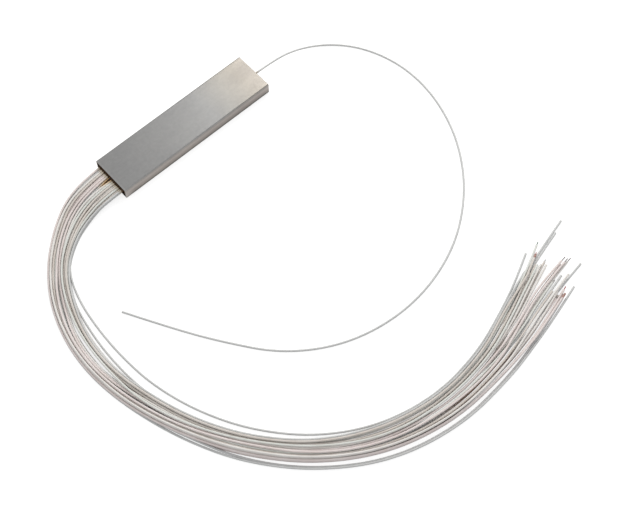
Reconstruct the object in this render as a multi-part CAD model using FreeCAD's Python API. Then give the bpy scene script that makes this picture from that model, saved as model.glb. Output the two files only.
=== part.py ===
import FreeCAD, Part
import math
import os

# PLC fibre splitter, one input to thirty-two outputs, in the flat steel-tube
# package of 80 x 20 x 6 mm. Millimetres. The origin is the middle of the
# housing's underside, the housing lies along X, the input lead leaves at +X and
# the output leads at -X. The housing and all the leads lie on the plane Z = 0.

os.makedirs("parts", exist_ok=True)

# --- Driving dimensions -----------------------------------------------------
LENGTH = 80.0
WIDTH = 20.0
HEIGHT = 6.0
WALL = 0.5
EDGE_RADIUS = 0.6               # drawn long edges of the tube, outside
DEBURR = 0.1                    # broken edges of the sawn ends

CORE_HEIGHT = 3.0               # the light's path through the package
CHIP_ANGLE = 8.0                # polish of every glass end face
BARE = 0.125                    # stripped fibre
COATED = 0.24                   # coated fibre
GROOVE_PITCH = 0.127
GROOVE_ANGLE = 70.0
FIBRES = 32

MODULE_ENDS = (-11.0, 29.0)     # inner channel that carries the optics
MODULE_WIDTH = 7.0
MODULE_BOTTOM = 1.0
MODULE_TOP = 5.0
MODULE_WALL = 0.3
CHIP_ENDS = (2.0, 19.5)         # the output facet and the input facet, at the core
CHIP_WIDTH = 4.6
BLOCK_WIDTH = 4.8
OUTPUT_BLOCK_END = -7.0
GROOVES_END = -2.5              # the grooves give way to the ribbons' shelf
INPUT_BLOCK_END = 25.0
BED_BOTTOM = 1.3
GLASS_BOTTOM = 1.8
LID_TOP = 4.2

RIBBON_WIDTH = 2.02
RIBBON_THICKNESS = 0.32
RIBBON_ENDS = (-13.0, -4.9)

OUTPUT_POTTING = (-39.2, -36.0)
INPUT_POTTING = (33.0, 39.2)

LEAD_DIAMETER = 0.9
ROW_HEIGHTS = (2.75, 3.67)      # centres of the two rows of tubes in the potting
COLUMNS = 16                    # tubes in each row, as two groups of eight
EXIT_PITCH = 0.91
GROUP_GAP = 1.4                 # clear space between the two groups
LAYER_RISE = 0.92               # one layer of tubes lies on the one below
FLOOR = LEAD_DIAMETER / 2       # centre height of a tube that lies on the surface
TIP_DIAMETER = 0.25             # coated fibre that stands out of a cut end


def box(x0, x1, y0, y1, z0, z1):
    """Block between two corners."""
    return Part.makeBox(x1 - x0, y1 - y0, z1 - z0, FreeCAD.Vector(x0, y0, z0))


def bar(x0, x1, width, z0, z1):
    """Block centred on the housing's long axis."""
    return box(x0, x1, -width / 2, width / 2, z0, z1)


def write(node, shape):
    shape.exportStep("parts/" + node + ".step")


# --- Housing: a drawn stainless tube, sawn to length and deburred ------------
def long_edges(shape):
    return [edge for edge in shape.Edges if edge.BoundBox.XLength > LENGTH / 2]


def end_edges(shape):
    return [edge for edge in shape.Edges if edge.BoundBox.XLength < DEBURR]


def cavity(x0, x1):
    """A slice of the room inside the tube, with the tube's inner corners."""
    slug = bar(x0, x1, WIDTH - 2 * WALL, WALL, HEIGHT - WALL)
    corners = [edge for edge in slug.Edges if edge.BoundBox.XLength > (x1 - x0) / 2]
    return slug.makeFillet(EDGE_RADIUS - WALL, corners)


def housing_tube():
    half = LENGTH / 2
    outside = bar(-half, half, WIDTH, 0, HEIGHT)
    outside = outside.makeFillet(EDGE_RADIUS, long_edges(outside))
    outside = outside.makeChamfer(DEBURR, end_edges(outside))
    return outside.cut(cavity(-half - 1, half + 1))


# --- Inner channel with the optics ------------------------------------------
def module_tube():
    x0, x1 = MODULE_ENDS
    outside = bar(x0, x1, MODULE_WIDTH, MODULE_BOTTOM, MODULE_TOP)
    outside = outside.makeFillet(2 * MODULE_WALL, [e for e in outside.Edges if e.BoundBox.XLength > 1])
    room = bar(x0 - 1, x1 + 1, MODULE_WIDTH - 2 * MODULE_WALL,
               MODULE_BOTTOM + MODULE_WALL, MODULE_TOP - MODULE_WALL)
    room = room.makeFillet(MODULE_WALL, [e for e in room.Edges if e.BoundBox.XLength > 1])
    return outside.cut(room)


def module_plug(x0, x1):
    """Silicone plug that fills the channel's section."""
    plug = bar(x0, x1, MODULE_WIDTH - 2 * MODULE_WALL,
               MODULE_BOTTOM + MODULE_WALL, MODULE_TOP - MODULE_WALL)
    return plug.makeFillet(MODULE_WALL, [e for e in plug.Edges if e.BoundBox.XLength > 1])


def facet_side(x, towards):
    """Everything on one side of a glass face that leans by the polish angle."""
    lean = math.tan(math.radians(CHIP_ANGLE)) * 5
    far = x + towards * 60
    corners = [(x - lean, CORE_HEIGHT - 5), (x + lean, CORE_HEIGHT + 5),
               (far, CORE_HEIGHT + 5), (far, CORE_HEIGHT - 5)]
    points = [FreeCAD.Vector(px, -5, pz) for px, pz in corners]
    face = Part.Face(Part.makePolygon(points + points[:1]))
    return face.extrude(FreeCAD.Vector(0, 10, 0))


def splitter_chip():
    """Waveguide chip, both of its faces polished at the angle."""
    blank = bar(CHIP_ENDS[0] - 1, CHIP_ENDS[1] + 1, CHIP_WIDTH, GLASS_BOTTOM, CORE_HEIGHT)
    return blank.cut([facet_side(CHIP_ENDS[0], -1), facet_side(CHIP_ENDS[1], 1)])


def chip_cover(end, inward):
    """Glass bar over one end of the chip, polished together with it."""
    x0, x1 = sorted((end - inward, end + 3 * inward))
    blank = bar(x0, x1, CHIP_WIDTH, CORE_HEIGHT, LID_TOP)
    return blank.cut(facet_side(end, -inward))


GROOVE_HALF = 0.058             # half the width of a groove at the block's top
VERTEX_DEPTH = BARE / 2 / math.sin(math.radians(GROOVE_ANGLE / 2))
GROOVE_DEPTH = GROOVE_HALF / math.tan(math.radians(GROOVE_ANGLE / 2))
GROOVE_TOP = CORE_HEIGHT - VERTEX_DEPTH + GROOVE_DEPTH


def grooved_block(x0, x1, centres):
    """Glass block with a row of V-grooves that seat the fibres at the core height."""
    half = BLOCK_WIDTH / 2
    outline = [(-half, GLASS_BOTTOM), (-half, GROOVE_TOP)]
    for y in centres:
        outline += [(y - GROOVE_HALF, GROOVE_TOP), (y, GROOVE_TOP - GROOVE_DEPTH),
                    (y + GROOVE_HALF, GROOVE_TOP)]
    outline += [(half, GROOVE_TOP), (half, GLASS_BOTTOM)]
    points = [FreeCAD.Vector(x0, y, z) for y, z in outline]
    face = Part.Face(Part.makePolygon(points + points[:1]))
    return face.extrude(FreeCAD.Vector(x1 - x0, 0, 0))


def bare_centre(fibre):
    """Place across the array of one stripped fibre."""
    return (fibre - (FIBRES - 1) / 2) * GROOVE_PITCH


LID_BOTTOM = CORE_HEIGHT + BARE / 2 + 0.005
SHELF = CORE_HEIGHT - RIBBON_THICKNESS


def output_fibre_block():
    """Thirty-two grooves in front, and behind them a lower shelf for the ribbons."""
    centres = [bare_centre(i) for i in range(FIBRES)]
    block = grooved_block(GROOVES_END, CHIP_ENDS[0] + 1, centres)
    shelf = bar(OUTPUT_BLOCK_END, GROOVES_END, BLOCK_WIDTH, GLASS_BOTTOM, SHELF)
    return block.fuse(shelf).removeSplitter().cut(facet_side(CHIP_ENDS[0], 1))


def output_block_lid():
    """Glass lid, its cement reaching down to the block between the fibres."""
    x1 = CHIP_ENDS[0] + 1
    lid = bar(GROOVES_END, x1, BLOCK_WIDTH, GROOVE_TOP, LID_TOP)
    room = bar(GROOVES_END, x1, GROOVE_PITCH * FIBRES, GROOVE_TOP, LID_BOTTOM)
    return lid.cut([room, facet_side(CHIP_ENDS[0], 1)])


def input_fibre_block():
    block = grooved_block(CHIP_ENDS[1] - 1, INPUT_BLOCK_END, [0.0])
    pocket = bar(INPUT_BLOCK_END - 1.5, INPUT_BLOCK_END, 0.5, SHELF, GROOVE_TOP)
    return block.cut([facet_side(CHIP_ENDS[1], -1), pocket])


def input_block_lid():
    x0 = CHIP_ENDS[1] - 1
    x1 = INPUT_BLOCK_END - 1.5
    lid = bar(x0, x1, BLOCK_WIDTH, GROOVE_TOP, LID_TOP)
    room = bar(x0, x1, 2 * GROOVE_PITCH, GROOVE_TOP, LID_BOTTOM)
    return lid.cut([room, facet_side(CHIP_ENDS[1], -1)])


# --- Free leads -------------------------------------------------------------
# The middle of the bundle of output leads: x, y, centre height of its lowest
# layer, and its width over the tubes. The first station is inside the potting.
STATIONS = [
    (-35.6, 0.1, 2.75, 15.8),
    (-46.5, 0.1, 1.90, 15.8),
    (-59.0, -1.7, 1.05, 14.4),
    (-71.0, -8.0, 0.55, 10.9),
    (-82.0, -17.8, FLOOR, 9.2),
    (-90.0, -31.4, FLOOR, 9.9),
    (-94.4, -48.1, FLOOR, 11.1),
    (-95.3, -66.0, FLOOR, 10.8),
    (-92.5, -85.6, FLOOR, 9.5),
    (-84.7, -106.8, FLOOR, 8.5),
    (-72.8, -127.2, FLOOR, 8.4),
    (-55.0, -146.5, FLOOR, 9.2),
    (-31.8, -160.4, FLOOR, 11.2),
    (-5.0, -167.7, FLOOR, 13.6),
    (21.2, -165.9, FLOOR, 14.1),
]

# How the tubes are stacked where they have just left the potting, and where
# the bundle has drawn together: layers from the floor up, each from the outside
# of the bend to the inside, of tubes given as (column, row) in the potting
LOOSE_LAYERS = [
    [(0, 0), (1, 0), (3, 0), (4, 0), (6, 0), (7, 0), (8, 0), (9, 0), (11, 0), (12, 0), (14, 0)],
    [(1, 1), (2, 0), (4, 1), (5, 0), (7, 1), (10, 0), (11, 1), (13, 0), (14, 1), (15, 0)],
    [(0, 1), (2, 1), (3, 1), (5, 1), (6, 1), (8, 1), (9, 1), (10, 1), (12, 1), (13, 1), (15, 1)],
]
TIGHT_LAYERS = [
    [(0, 0), (3, 0), (4, 0), (6, 0), (7, 0), (8, 0), (9, 0), (11, 0), (12, 0), (14, 0)],
    [(1, 1), (1, 0), (4, 1), (7, 1), (10, 0), (11, 1), (13, 0), (14, 1), (15, 0)],
    [(0, 1), (2, 0), (3, 1), (5, 0), (6, 1), (8, 1), (10, 1), (13, 1), (15, 1)],
    [(2, 1), (5, 1), (9, 1), (12, 1)],
]
FIRST_TIGHT = 3                 # the first station with the tight stack
LAYER_INSETS = (0.0, 0.0, 0.0, 2.2)

# The opening in each layer at each station from the third on: how many tubes
# lie outside it and how wide it is
OPENINGS = [
    [(4, 0.3), (6, 0.2), (5, 0.0), (6, 0.3), (6, 0.7), (6, 0.6), (6, 0.2),
     (4, 0.1), (7, 0.1), (3, 0.6), (5, 0.9), (6, 1.0), (6, 0.8)],
    [(7, 0.4), (3, 0.6), (6, 0.7), (5, 1.0), (5, 1.6), (5, 1.4), (4, 0.8),
     (3, 0.7), (4, 0.9), (5, 1.2), (3, 1.6), (5, 1.4), (6, 0.9)],
    [(3, 0.5), (6, 0.7), (4, 0.6), (4, 1.0), (4, 1.5), (4, 1.4), (3, 0.9),
     (7, 0.2), (4, 0.1), (6, 0.7), (7, 1.2), (3, 1.4), (5, 1.0)],
    [(2, 0.0), (2, 0.6), (1, 1.0), (2, 1.4), (2, 2.8), (2, 2.7), (3, 1.6),
     (3, 0.8), (1, 1.2), (2, 0.9), (3, 1.3), (1, 0.6), (2, 1.4)],
]

# Three tubes stray from the bundle and lie beside it on the floor: each one's
# offset from the bundle's middle, outward, from the station where it leaves
STRAYS = {
    (15, 0): {5: -6.7, 6: -8.7, 7: -9.2, 8: -8.5, 9: -7.5,
              10: -6.9, 11: -6.6, 12: -6.4, 13: -7.4, 14: -7.6},
    (0, 0): {9: 5.1, 10: 6.4, 11: 7.3, 12: 8.5, 13: 8.3, 14: 8.35},
    (1, 1): {10: 5.4, 11: 6.3, 12: 7.5, 13: 7.35, 14: 7.45},
}

# The fan of free ends, from the outside in. Each tube's y where it crosses
# FAN_X, its y part of the way on, and its end's x, y and height
FAN_X = 40.0
BEND_SHARE = 0.52               # how far along a free end its last bend lies
FREE_ENDS = [
    (-171.5, -168.2, 69.7, -164.7, 0.45),
    (-170.5, -167.8, 62.5, -165.0, 0.45),
    (-169.5, -166.7, 63.6, -163.9, 0.45),
    (-169.8, -167.2, 64.0, -164.6, 1.80),
    (-169.1, -166.2, 65.2, -163.0, 1.15),
    (-168.0, -165.1, 62.0, -162.9, 0.45),
    (-167.6, -165.0, 62.6, -161.8, 1.90),
    (-167.0, -165.3, 60.0, -163.4, 1.10),
    (-166.4, -162.3, 71.4, -159.7, 2.20),
    (-166.2, -161.9, 79.5, -159.5, 0.45),
    (-165.1, -162.3, 61.0, -160.4, 1.80),
    (-164.5, -160.9, 69.2, -158.0, 1.15),
    (-163.6, -159.9, 66.0, -157.2, 0.45),
    (-163.6, -160.0, 64.0, -157.7, 1.80),
    (-162.6, -157.7, 75.6, -155.4, 1.15),
    (-162.0, -156.9, 74.2, -154.9, 2.10),
    (-161.7, -156.6, 73.0, -154.3, 0.45),
    (-161.1, -155.0, 73.9, -153.6, 1.80),
    (-159.9, -154.9, 68.3, -150.5, 1.15),
    (-159.3, -153.6, 69.0, -148.9, 0.45),
    (-158.7, -153.9, 64.0, -149.9, 2.00),
    (-158.0, -152.8, 66.8, -148.9, 1.15),
    (-157.4, -152.5, 65.1, -148.3, 2.20),
    (-156.9, -152.4, 61.8, -148.8, 0.45),
    (-156.3, -150.4, 68.2, -144.4, 1.80),
    (-155.6, -151.9, 65.0, -147.6, 1.20),
    (-154.9, -147.3, 82.3, -142.8, 0.45),
    (-154.5, -148.6, 71.6, -141.8, 1.80),
    (-153.5, -151.1, 59.6, -148.5, 2.75),
    (-153.7, -145.5, 88.1, -140.5, 0.60),
    (-152.8, -149.3, 59.6, -146.7, 1.30),
    (-152.2, -147.1, 66.1, -141.1, 0.45),
]
FAN_RISE = 0.8                  # the layers settle as the tubes spread


def unit(dx, dy):
    length = math.hypot(dx, dy)
    return dx / length, dy / length


def outward(k):
    """Unit normal of the bundle at station k, pointing out of the bend."""
    here = STATIONS[k]
    middle = (FAN_X, (FREE_ENDS[0][0] + FREE_ENDS[-1][0]) / 2)
    after = STATIONS[k + 1] if k + 1 < len(STATIONS) else middle
    ox, oy = unit(after[0] - here[0], after[1] - here[1])
    ix, iy = unit(here[0] - STATIONS[k - 1][0], here[1] - STATIONS[k - 1][1]) if k else (ox, oy)
    tx, ty = unit(ix + ox, iy + oy)
    return ty, -tx


def at_station(k, offset, height):
    x, y = STATIONS[k][:2]
    nx, ny = outward(k)
    return (x + offset * nx, y + offset * ny, height)


def exit_offset(column):
    """Sideways place of a column in the potting, outward."""
    half = COLUMNS // 2
    side = 1 if column < half else -1
    from_gap = half - 1 - column if side > 0 else column - half
    return side * ((GROUP_GAP + LEAD_DIAMETER) / 2 + from_gap * EXIT_PITCH)


def spread_offset(k, column):
    """Sideways place of a column once the two groups have closed up."""
    reach = (STATIONS[k][3] - LEAD_DIAMETER) / 2
    return reach * (1 - 2 * column / (COLUMNS - 1))


def strayed(tube, k):
    return tube in STRAYS and k >= min(STRAYS[tube])


def layers_at(k):
    return TIGHT_LAYERS if k >= FIRST_TIGHT else LOOSE_LAYERS


def level_at(k, tube):
    return [tube in layer for layer in layers_at(k)].index(True)


def layer_offset(k, tube):
    """Sideways place of a tube in its layer, evenly spread but for the opening."""
    level = level_at(k, tube)
    members = [other for other in layers_at(k)[level] if not strayed(other, k)]
    split, gap = OPENINGS[level][k - 2]
    reach = STATIONS[k][3] - LEAD_DIAMETER - LAYER_INSETS[level]
    order = members.index(tube)
    pitch = (reach - gap) / (len(members) - 1)
    return reach / 2 - order * pitch - (gap if order >= split else 0.0)


def fan_order():
    """Every tube, as (tube, level), in the order of the free ends."""
    floor, second, third, top = TIGHT_LAYERS
    order = [(floor[0], 0), (second[0], 0)]
    for i in range(9):
        order.append((floor[i + 1], 0))
        order.append((third[i], 2))
        if i < 7:
            order.append((second[i + 1], 1))
        if i % 2 == 1:
            order.append((top[i // 2], 3))
    order.append((second[-1], 0))
    return order


def exit_run(tube):
    """The first straight run of a tube: its start in the potting and the next point."""
    column, row = tube
    start = at_station(0, exit_offset(column), ROW_HEIGHTS[row])
    height = STATIONS[1][2] + level_at(1, tube) * LAYER_RISE
    return [start, at_station(1, spread_offset(1, column), height)]


def lead_route(rank):
    """The points of one output lead, from the potting to its free end."""
    tube, end_level = fan_order()[rank]
    points = exit_run(tube)
    for k in range(2, len(STATIONS)):
        if strayed(tube, k):
            points.append(at_station(k, STRAYS[tube][k], FLOOR))
        else:
            height = STATIONS[k][2] + level_at(k, tube) * LAYER_RISE
            points.append(at_station(k, layer_offset(k, tube), height))
    root_y, bend_y, end_x, end_y, end_z = FREE_ENDS[rank]
    root_z = FLOOR + end_level * FAN_RISE
    bend_x = FAN_X + BEND_SHARE * (end_x - FAN_X)
    points.append((FAN_X, root_y, root_z))
    points.append((bend_x, bend_y, (root_z + end_z) / 2))
    points.append((end_x, end_y, end_z))
    return points


INPUT_ROUTE = [
    (36.4, 0.0, 3.0), (50.0, 0.0, 3.0), (63.7, -1.2, 1.2), (77.8, -9.0, FLOOR), (88.4, -22.7, FLOOR),
    (94.0, -42.0, FLOOR), (92.2, -63.6, FLOOR), (83.2, -85.7, FLOOR), (66.9, -105.7, FLOOR),
    (44.1, -120.6, FLOOR), (15.5, -127.0, FLOOR), (-13.4, -122.5, FLOOR), (-37.0, -108.0, FLOOR),
    (-52.8, -86.6, FLOOR), (-64.1, -68.1, FLOOR), (-74.0, -50.0, FLOOR),
]

# Cut ends where the coated fibre stands out of its tube: lead number and length
TIPS = {5: 1.0, 15: 2.2, 16: 1.6, 18: 2.0, 20: 0.9, 25: 1.1, 28: 1.5}


def vector(point):
    return FreeCAD.Vector(*point)


def corner(before, at, after):
    """Ends, middle and radius of the arc that rounds one corner of a route."""
    back = (before - at).normalize()
    ahead = (after - at).normalize()
    reach = 0.45 * min((before - at).Length, (after - at).Length)
    half_turn = (math.pi - back.getAngle(ahead)) / 2
    radius = reach / math.tan(half_turn)
    inward = (back + ahead).normalize()
    middle = at + inward * (radius / math.cos(half_turn) - radius)
    return at + back * reach, middle, at + ahead * reach, radius


def route_wire(points):
    """Straight runs joined by tangent arcs, and the arcs' radii."""
    points = [vector(point) for point in points]
    edges = []
    radii = []
    start = points[0]
    for before, at, after in zip(points, points[1:], points[2:]):
        first, middle, last, radius = corner(before, at, after)
        edges.append(Part.LineSegment(start, first).toShape())
        edges.append(Part.Arc(first, middle, last).toShape())
        radii.append(radius)
        start = last
    edges.append(Part.LineSegment(start, points[-1]).toShape())
    return Part.Wire(edges), radii


def tube(points, diameter):
    """Round solid along a route."""
    wire = route_wire(points)[0]
    start = vector(points[0])
    circle = Part.makeCircle(diameter / 2, start, vector(points[1]) - start)
    return wire.makePipe(Part.Face(Part.Wire(circle)))


def rod(start, end, diameter):
    """Straight round solid between two points."""
    start, end = vector(start), vector(end)
    return Part.makeCylinder(diameter / 2, (end - start).Length, start, end - start)


def beyond(start, end, length):
    """The point a length past the end of a run, or before it if negative."""
    start, end = vector(start), vector(end)
    return tuple(end + (end - start).normalize() * length)


def report_route(node, points):
    wire, radii = route_wire(points)
    print("%s: %.1f mm long, arc radii %.1f to %.1f mm" % (node, wire.Length, min(radii), max(radii)))


def output_lead(number):
    points = lead_route(number - 1)
    report_route("output_lead_%02d" % number, points)
    lead = tube(points, LEAD_DIAMETER)
    if number in TIPS:
        root = beyond(points[-2], points[-1], -0.3)
        lead = lead.fuse(rod(root, beyond(points[-2], points[-1], TIPS[number]), TIP_DIAMETER))
    return lead


def input_lead():
    report_route("input_lead", INPUT_ROUTE)
    return tube(INPUT_ROUTE, LEAD_DIAMETER)


# --- Fibres between the chip and the leads ----------------------------------
STRAIGHT_TAIL = 5.0             # each fibre runs straight into the end of its tube


def strand(points, diameter):
    """Fibre with a six-sided section, moved unturned from point to point along X."""
    runs = []
    for start, end in zip(points, points[1:]):
        x, y, z = start
        angles = [math.radians(60 * i) for i in range(7)]
        ring = [FreeCAD.Vector(x, y + diameter / 2 * math.cos(a), z + diameter / 2 * math.sin(a))
                for a in angles]
        runs.append(Part.Face(Part.makePolygon(ring)).extrude(vector(end) - vector(start)))
    return runs[0].fuse(runs[1:])


def tube_of(fibre):
    """Even fibres come off the upper ribbons and go to the upper row of tubes."""
    return (COLUMNS - 1 - fibre // 2, 1 - fibre % 2)


def coated_fibre(fibre, height):
    """From the ribbon, spread out to its tube, and straight into the tube's end."""
    y = bare_centre(fibre)
    x = RIBBON_ENDS[0]
    start, onward = exit_run(tube_of(fibre))
    points = [(x + 1, y, height), (x - 2, y, height),
              beyond(onward, start, STRAIGHT_TAIL), beyond(onward, start, -0.1)]
    return strand(points, COATED).cut(rod(start, onward, LEAD_DIAMETER))


def bare_fibre(fibre, height):
    """Stripped fibre, from the ribbon's end down or up into its groove."""
    y = bare_centre(fibre)
    x = RIBBON_ENDS[1]
    groove = GROOVES_END - 0.7
    lead_in = strand([(x + 0.5, y, height), (x - 0.5, y, height), (groove, y, CORE_HEIGHT),
                      (groove + 0.2, y, CORE_HEIGHT)], BARE)
    seated = rod((groove + 0.1, y, CORE_HEIGHT), (CHIP_ENDS[0] + 1, y, CORE_HEIGHT), BARE)
    return lead_in.fuse(seated.cut(facet_side(CHIP_ENDS[0], 1)))


def fibre_ribbon(number):
    """Eight fibres side by side: ribbons 1 and 2 lie over 3 and 4."""
    upper = number <= 2
    first = FIBRES // 2 * ((number - 1) % 2) + (0 if upper else 1)
    fibres = range(first, first + FIBRES // 2, 2)
    bottom = CORE_HEIGHT if upper else SHELF
    height = bottom + RIBBON_THICKNESS / 2
    middle = sum(bare_centre(i) for i in fibres) / len(fibres)
    jacket = box(*RIBBON_ENDS, middle - RIBBON_WIDTH / 2, middle + RIBBON_WIDTH / 2,
                 bottom, bottom + RIBBON_THICKNESS)
    strands = [bare_fibre(i, height) for i in fibres] + [coated_fibre(i, height) for i in fibres]
    return jacket.fuse(strands)


def input_fibre():
    """Bare in its groove, coated behind it as far as the input lead."""
    bare = rod((CHIP_ENDS[1] - 1, 0, CORE_HEIGHT), (INPUT_BLOCK_END - 1, 0, CORE_HEIGHT), BARE)
    coated = rod((INPUT_BLOCK_END - 1.3, 0, CORE_HEIGHT), INPUT_ROUTE[0], COATED)
    return bare.fuse(coated).cut(facet_side(CHIP_ENDS[1], -1))


# --- Plugs of the inner channel, and the epoxy in the housing's two ends -----
def output_plug():
    """The stack of ribbons passes through a slot."""
    x0 = MODULE_ENDS[0]
    half = RIBBON_WIDTH + GROOVE_PITCH / 2 + 0.006
    slot = box(x0 - 1, x0 + 4, -half, half, SHELF, CORE_HEIGHT + RIBBON_THICKNESS)
    return module_plug(x0, x0 + 3).cut(slot)


def input_plug():
    x1 = MODULE_ENDS[1]
    hole = rod((x1 - 4, 0, CORE_HEIGHT), (x1 + 1, 0, CORE_HEIGHT), COATED)
    return module_plug(x1 - 3, x1).cut(hole)


def wedge_section(x, half, z0, z1):
    corners = [(x, -half, z0), (x, half, z0), (x, half, z1), (x, -half, z1)]
    return Part.makePolygon([vector(c) for c in corners + corners[:1]])


def output_potting():
    """Epoxy round the tubes, drawn out between the two groups as a thin wedge."""
    x0, x1 = OUTPUT_POTTING
    wedge = Part.makeLoft([wedge_section(x0 + 0.3, 0.95, 2.35, 4.15),
                           wedge_section(x0 - 5.5, 0.28, 1.85, 3.35)], True, True)
    epoxy = cavity(x0, x1).fuse(wedge)
    cutters = []
    for rank, (lead, level) in enumerate(fan_order()):
        start, onward = exit_run(lead)
        beside_wedge = lead[0] in (COLUMNS // 2 - 1, COLUMNS // 2)
        route = lead_route(rank)[:4]
        cutters.append(tube(route, LEAD_DIAMETER) if beside_wedge
                       else rod(start, beyond(onward, start, -5.0), LEAD_DIAMETER))
    return epoxy.cut(cutters)


def input_potting():
    """Epoxy round the input lead, with a small cone where the lead comes out."""
    x0, x1 = INPUT_POTTING
    centre = FreeCAD.Vector(x1, 0, CORE_HEIGHT)
    cone = Part.makeCone(1.9, 0.7, 1.1, centre, FreeCAD.Vector(1, 0, 0))
    lead = rod(INPUT_ROUTE[0], (x1 + 4, 0, CORE_HEIGHT), LEAD_DIAMETER)
    fibre = rod((x0 - 1, 0, CORE_HEIGHT), INPUT_ROUTE[0], COATED)
    return cavity(x0, x1).fuse(cone).cut([lead, fibre])


# --- Write every piece ------------------------------------------------------
write("housing_tube", housing_tube())
write("module_pad", bar(MODULE_ENDS[0] + 2, MODULE_ENDS[1] - 2, 6.0, WALL, MODULE_BOTTOM))
write("module_tube", module_tube())
write("chip_bed", bar(OUTPUT_BLOCK_END, INPUT_BLOCK_END, 4.0, BED_BOTTOM, GLASS_BOTTOM))
write("splitter_chip", splitter_chip())
write("chip_cover_output", chip_cover(CHIP_ENDS[0], 1))
write("chip_cover_input", chip_cover(CHIP_ENDS[1], -1))
write("output_fibre_block", output_fibre_block())
write("output_block_lid", output_block_lid())
write("input_fibre_block", input_fibre_block())
write("input_block_lid", input_block_lid())
write("input_fibre", input_fibre())
for number in range(1, 5):
    write("fibre_ribbon_%d" % number, fibre_ribbon(number))
write("output_plug", output_plug())
write("input_plug", input_plug())
write("output_potting", output_potting())
write("input_potting", input_potting())
for number in range(1, FIBRES + 1):
    write("output_lead_%02d" % number, output_lead(number))
write("input_lead", input_lead())
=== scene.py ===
import math

import bpy
import numpy as np
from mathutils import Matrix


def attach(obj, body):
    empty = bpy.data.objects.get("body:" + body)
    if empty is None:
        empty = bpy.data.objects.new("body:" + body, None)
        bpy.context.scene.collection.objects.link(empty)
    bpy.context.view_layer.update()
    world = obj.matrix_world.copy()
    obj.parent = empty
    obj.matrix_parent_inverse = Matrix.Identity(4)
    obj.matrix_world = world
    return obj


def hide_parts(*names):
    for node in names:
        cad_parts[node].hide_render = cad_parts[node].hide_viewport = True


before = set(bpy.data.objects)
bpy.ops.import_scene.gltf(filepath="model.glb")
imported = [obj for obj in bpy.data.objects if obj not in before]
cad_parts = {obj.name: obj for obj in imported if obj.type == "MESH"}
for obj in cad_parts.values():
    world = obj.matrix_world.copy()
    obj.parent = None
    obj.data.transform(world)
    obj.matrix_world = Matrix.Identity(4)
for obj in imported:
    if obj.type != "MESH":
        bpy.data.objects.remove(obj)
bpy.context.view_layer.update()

# --- Camera -----------------------------------------------------------------
# A long lens looks down on the splitter from its output end, over the inside
# of the bundle's bend, so that the housing and every lead are in view.
LOOK_AT = (-0.001483, -0.082288, 0.0)
CAMERA_DISTANCE = 0.496253
CAMERA_TURN = math.radians(-42.077)
CAMERA_HEIGHT = math.radians(63.919)

lens = bpy.data.cameras.new("viewer")
lens.lens = 70.0
lens.sensor_width = 36.0
lens.clip_start = 0.01
camera = bpy.data.objects.new("viewer", lens)
bpy.context.scene.collection.objects.link(camera)
away = (math.sin(CAMERA_TURN) * math.cos(CAMERA_HEIGHT),
        -math.cos(CAMERA_TURN) * math.cos(CAMERA_HEIGHT), math.sin(CAMERA_HEIGHT))
camera.location = [at + CAMERA_DISTANCE * step for at, step in zip(LOOK_AT, away)]
camera.rotation_euler = (math.pi / 2 - CAMERA_HEIGHT, 0.0, CAMERA_TURN)
bpy.context.scene.camera = camera
bpy.context.scene.view_settings.view_transform = "Standard"

# --- Routes of the leads ----------------------------------------------------
# Thirty-two 0.9 mm tubes leave the epoxy in two rows, draw together into a flat
# bundle four tubes deep, bend round and fan out, and one leaves the other end.
# These are the part's routes in millimetres, eased where tubes lie apart.
MM = 0.001
LEAD_DIAMETER = 0.9
ROW_HEIGHTS = (2.75, 3.67)      # centres of the two rows of tubes in the potting
COLUMNS = 16                    # tubes in each row, as two groups of eight
EXIT_PITCH = 0.91
GROUP_GAP = 1.4                 # clear space between the two groups
LAYER_RISE = 0.92               # one layer of tubes lies on the one below
FLOOR = LEAD_DIAMETER / 2       # centre height of a tube that lies on the surface

# The middle of the bundle: x, y, centre height of its lowest layer, and its
# width over the tubes. The first station is inside the potting.
STATIONS = [
    (-35.6, 0.1, 2.75, 15.8),
    (-46.5, 0.1, 1.90, 15.8),
    (-59.0, -1.7, 1.05, 14.4),
    (-71.0, -8.0, 0.55, 10.9),
    (-82.0, -17.8, FLOOR, 9.2),
    (-90.0, -31.4, FLOOR, 9.9),
    (-94.4, -48.1, FLOOR, 11.1),
    (-95.3, -66.0, FLOOR, 10.8),
    (-92.5, -85.6, FLOOR, 9.5),
    (-84.7, -106.8, FLOOR, 8.5),
    (-72.8, -127.2, FLOOR, 8.4),
    (-55.0, -146.5, FLOOR, 9.2),
    (-31.8, -160.4, FLOOR, 11.2),
    (-5.0, -167.0, FLOOR, 12.2),
    (21.2, -165.6, FLOOR, 13.5),
]

# How the tubes are stacked where they have just left the potting, and where
# the bundle has drawn together: layers from the floor up, each from the outside
# of the bend to the inside, of tubes given as (column, row) in the potting
LOOSE_LAYERS = [
    [(0, 0), (1, 0), (3, 0), (4, 0), (6, 0), (7, 0), (8, 0), (9, 0), (11, 0), (12, 0), (14, 0)],
    [(1, 1), (2, 0), (4, 1), (5, 0), (7, 1), (10, 0), (11, 1), (13, 0), (14, 1), (15, 0)],
    [(0, 1), (2, 1), (3, 1), (5, 1), (6, 1), (8, 1), (9, 1), (10, 1), (12, 1), (13, 1), (15, 1)],
]
TIGHT_LAYERS = [
    [(0, 0), (3, 0), (4, 0), (6, 0), (7, 0), (8, 0), (9, 0), (11, 0), (12, 0), (14, 0)],
    [(1, 1), (1, 0), (4, 1), (7, 1), (10, 0), (11, 1), (13, 0), (14, 1), (15, 0)],
    [(0, 1), (2, 0), (3, 1), (5, 0), (6, 1), (8, 1), (10, 1), (13, 1), (15, 1)],
    [(2, 1), (5, 1), (9, 1), (12, 1)],
]
FIRST_TIGHT = 3                 # the first station with the tight stack
LAYER_INSETS = (0.0, 0.0, 0.0, 2.2)     # how much narrower each layer is than the bundle

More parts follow.
